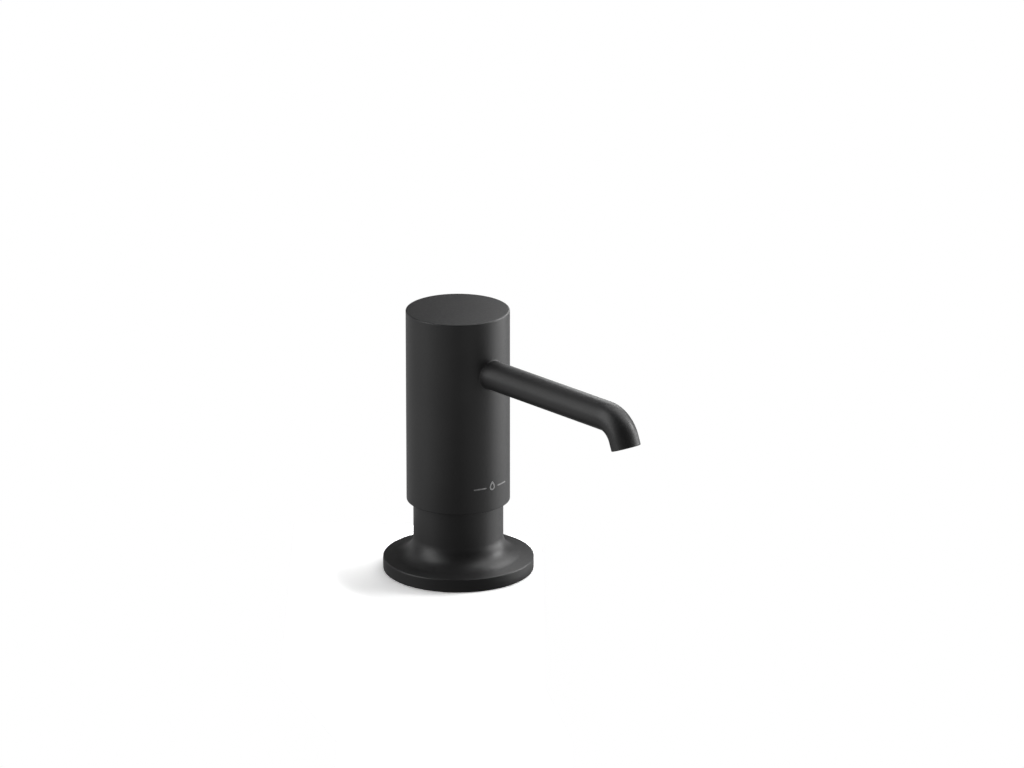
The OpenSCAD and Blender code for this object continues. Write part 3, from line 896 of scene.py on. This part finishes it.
def pump_stem():
    """Hollow rod with its stop collar, seal groove and valve seat."""
    bore_r, rod_r, bottom, top = 1.8, 3.5, -3.0, 72.0
    collar_r, collar_low, collar_high = 5.2, 9.0, 11.0
    groove_r, groove_low, groove_high = 2.52, 68.0, 69.3
    outline = rounded([
        (bore_r, bottom, 0.2),
        (rod_r, bottom, 0.5),
        (rod_r, collar_low, 0),
        (collar_r, collar_low, 0.25),
        (collar_r, collar_high, 0.25),
        (rod_r, collar_high, 0),
        (rod_r, groove_low, 0.1),
        (groove_r, groove_low, 0),
        (groove_r, groove_high, 0),
        (rod_r, groove_high, 0.1),
        (rod_r, top, 0.2),
        (bore_r + 1, top, 0.05),
        (bore_r, top - 1, 0.05),
    ])
    piece = lathe("hollow_stem", subdivided(outline, bottom, top, 4.0), 96, None, 30)
    return place(piece, "plunger", "white_plastic", "pump_stem")


def return_spring():
    """Compression spring with closed ends."""
    wire_r, mean_r, turns = 0.5, 5.0, 9
    low, high = -30.45, -3.05
    per_turn = 40
    end_pitch = 1.04
    full_rise = high - low - 2 * wire_r
    pitch = (full_rise - 2 * end_pitch) / (turns - 2)
    up = Vector((0, 0, 1))
    rings = []
    for i in range(turns * per_turn + 1):
        t = i / per_turn
        if t < 1:
            rise = end_pitch * t
        elif t > turns - 1:
            rise = full_rise - end_pitch * (turns - t)
        else:
            rise = end_pitch + pitch * (t - 1)
        angle = math.tau * t
        out = Vector((math.cos(angle), math.sin(angle), 0))
        rings.append((out * mean_r + up * (low + wire_r + rise), out, up, wire_r))
    piece = tube("coil_spring", rings, 14, closed=False)
    place(piece, "pump", "stainless_steel", "return_spring")
    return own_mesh(piece)


def valve_ball(name, node, body):
    """A polished ball the size of its CAD node."""
    low, high = (Vector(corner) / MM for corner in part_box(node))
    radius, middle = (high.z - low.z) / 2, (high.z + low.z) / 2
    steps = 32
    outline = []
    for k in range(steps + 1):
        a = math.pi * (k / steps - 0.5)
        outline.append(Vector((radius * math.cos(a), middle + radius * math.sin(a))))
    outline[0].x = outline[-1].x = 0
    return place(lathe(name, outline, 64), body, "polished_steel", node)


def dip_tube():
    """Suction tube with a slanted lower end."""
    bore_r, outer_r = 1.95, 3.5
    top, bottom = -42.05, -199.0
    outline = rounded([
        (bore_r, bottom, 0),
        (outer_r, bottom, 0),
        (outer_r, top, 0.3),
        (bore_r, top, 0.3),
    ])
    piece = lathe("suction_tube", subdivided(outline, bottom, top, 6.0), 64)
    slant = Matrix.Translation((0, 0, (bottom + 2) * MM)) @ Matrix.Rotation(math.radians(30), 4, "X")
    size = 20 * MM
    block = bpy.data.meshes.new("slant")
    work = bmesh.new()
    bmesh.ops.create_cube(work, size=size, matrix=slant @ Matrix.Translation((0, 0, -size / 2)))
    work.to_mesh(block)
    work.free()
    cutter = bpy.data.objects.new("slant", block)
    scene.collection.objects.link(cutter)
    boolean(piece, cutter)
    shade(piece)
    return place(piece, "pump", "natural_plastic", "dip_tube")


def keep_cad_nodes():
    """Gives every CAD node that still shows its slot's material and smooth shading."""
    slots = {row["node"]: row["material_slot"] for row in frame["record"]["subparts"]}
    for name, node in nodes.items():
        if node.hide_render:
            continue
        node.data.materials.clear()
        node.data.materials.append(MATERIALS[slots[name]])
        shade(node, 30)


# ---------------------------------------------------------------- stage

def from_camera(angle, elevation, distance):
    """A point round the object, in degrees: 0 is the camera's side, and 90 the picture's right."""
    a = math.radians(angle)
    e = math.radians(elevation)
    towards = Vector((-math.sin(VIEW_AZIMUTH), -math.cos(VIEW_AZIMUTH), 0))
    right = Vector((math.cos(VIEW_AZIMUTH), -math.sin(VIEW_AZIMUTH), 0))
    flat = towards * math.cos(a) + right * math.sin(a)
    return (flat * math.cos(e) + Vector((0, 0, math.sin(e)))) * distance


def softbox(name, angle, elevation, distance, width, height, power):
    """A rectangular light that faces the object and that the camera doesn't see."""
    aim = Vector((0, 0, NEAR_AIM_Z if distance < NEAR_LIGHT else FAR_AIM_Z))
    data = bpy.data.lights.new(name, "AREA")
    data.shape = "RECTANGLE"
    data.size, data.size_y = width, height
    data.energy = power
    lamp = bpy.data.objects.new(name, data)
    scene.collection.objects.link(lamp)
    lamp.location = from_camera(angle, elevation, distance) + aim
    lamp.rotation_mode = "QUATERNION"
    lamp.rotation_quaternion = (lamp.location - aim).to_track_quat("Z", "Y")
    lamp.visible_camera = False


def camera():
    """The photograph's viewpoint: in front of the object, on its -X side, looking down slightly."""
    data = bpy.data.cameras.new("camera")
    data.lens = CAMERA_LENS
    data.sensor_width = 36.0
    data.clip_start, data.clip_end = 0.1, 20.0
    made = bpy.data.objects.new("camera", data)
    scene.collection.objects.link(made)
    forward = Vector((
        math.cos(VIEW_ELEVATION) * math.sin(VIEW_AZIMUTH),
        math.cos(VIEW_ELEVATION) * math.cos(VIEW_AZIMUTH),
        -math.sin(VIEW_ELEVATION),
    ))
    made.location = CAMERA_AT
    made.rotation_mode = "QUATERNION"
    made.rotation_quaternion = forward.to_track_quat("-Z", "Y")
    scene.camera = made


def deck():
    """The pale sheet that the base stands on, with a hole for the shank.

    It runs towards the camera, and it is only as wide as what it hides and the shadow need.
    """
    around = 96
    hole = []
    for k in range(around):
        angle = math.tau * k / around
        hole.append((DECK_HOLE_R * math.cos(angle), DECK_HOLE_R * math.sin(angle)))
    loops = [[Vector((x, y, DECK_LEVEL)) for x, y in loop] for loop in (DECK_OUTLINE, hole)]
    sheet = mesh_object("deck_sheet", [v for loop in loops for v in loop], tessellate_polygon(loops))
    sheet.modifiers.clear()
    sheet.matrix_world = Matrix.Rotation(-VIEW_AZIMUTH, 4, "Z")
    sheet.data.materials.append(pale_deck())


def pale_deck():
    """The sheet's material: for the camera lit white, plus a painted glow that grows away from the
    base; for all else only a dim glow.
    """
    m = Nodes("pale_deck")
    m.colour(m.noise(40, detail=2), (0.79, 0.79, 0.79), (0.81, 0.81, 0.81))
    m.roughness(m.noise(6), 0.6, 0.7)
    # Painted glow: white emission that is nil near the base and full further out, so the shadow
    # fades to white and the sheet's edges vanish.
    m.set(Specular_IOR_Level=0.0, Emission_Color=(1, 1, 1, 1))
    away = m.node("ShaderNodeVectorMath", operation="LENGTH")
    m.link(m.mm.outputs[0], away.inputs[0])
    fade = m.node("ShaderNodeMapRange", interpolation_type="SMOOTHSTEP")
    fade.inputs["From Min"].default_value, fade.inputs["From Max"].default_value = DECK_GLOW_RAMP
    m.link(away.outputs["Value"], fade.inputs["Value"])
    m.link(fade.outputs[0], m.shader.inputs["Emission Strength"])
    lift = m.node("ShaderNodeBsdfDiffuse")
    lift.inputs["Color"].default_value = (DECK_LIFT, DECK_LIFT, DECK_LIFT, 1)
    seen = m.node("ShaderNodeAddShader")
    m.link(m.shader.outputs[0], seen.inputs[0])
    m.link(lift.outputs[0], seen.inputs[1])
    unseen = m.node("ShaderNodeEmission")
    unseen.inputs["Strength"].default_value = DECK_BOUNCE
    path = m.node("ShaderNodeLightPath")
    mix = m.node("ShaderNodeMixShader")
    m.link(path.outputs["Is Camera Ray"], mix.inputs[0])
    m.link(unseen.outputs[0], mix.inputs[1])
    m.link(seen.outputs[0], mix.inputs[2])
    m.link(mix.outputs[0], m.tree.nodes["Material Output"].inputs["Surface"])
    return m.material


def world():
    """White behind the object, which is lit by a dim fill from below, as over a pale table."""
    made = bpy.data.worlds.new("studio")
    scene.world = made
    made.use_nodes = True
    tree = made.node_tree
    tree.nodes.clear()
    seen = tree.nodes.new("ShaderNodeBackground")
    fill = tree.nodes.new("ShaderNodeBackground")
    for shader in (seen, fill):
        shader.inputs["Color"].default_value = (1, 1, 1, 1)
    where = tree.nodes.new("ShaderNodeTexCoord")
    split = tree.nodes.new("ShaderNodeSeparateXYZ")
    band = tree.nodes.new("ShaderNodeMapRange")
    band.inputs["From Min"].default_value = -FILL_BLEND
    band.inputs["From Max"].default_value = FILL_BLEND
    band.inputs["To Min"].default_value = FILL_BELOW
    band.inputs["To Max"].default_value = FILL_ABOVE
    path = tree.nodes.new("ShaderNodeLightPath")
    mix = tree.nodes.new("ShaderNodeMixShader")
    out = tree.nodes.new("ShaderNodeOutputWorld")
    tree.links.new(where.outputs["Generated"], split.inputs[0])
    tree.links.new(split.outputs["Z"], band.inputs["Value"])
    tree.links.new(band.outputs[0], fill.inputs["Strength"])
    tree.links.new(path.outputs["Is Camera Ray"], mix.inputs[0])
    tree.links.new(fill.outputs[0], mix.inputs[1])
    tree.links.new(seen.outputs[0], mix.inputs[2])
    tree.links.new(mix.outputs[0], out.inputs["Surface"])


# ---------------------------------------------------------------- assembly

camera()
deck()
world()
for spec in SOFTBOXES:
    softbox(*spec)
scene.view_settings.view_transform = "Standard"
scene.view_settings.look = "None"

head_shell()
spout()
spout_root()
spout_liner()
generic_mark()
base_flange()
shank()
deck_gasket()
rubber_washer()
clamp_washer()
mounting_nut()
bottle()
pump_cap()
pump_housing()
pump_stem()
return_spring()
dip_tube()
valve_ball("inlet_valve_ball", "inlet_ball", "inlet_ball")
valve_ball("outlet_valve_ball", "outlet_ball", "outlet_ball")
keep_cad_nodes()
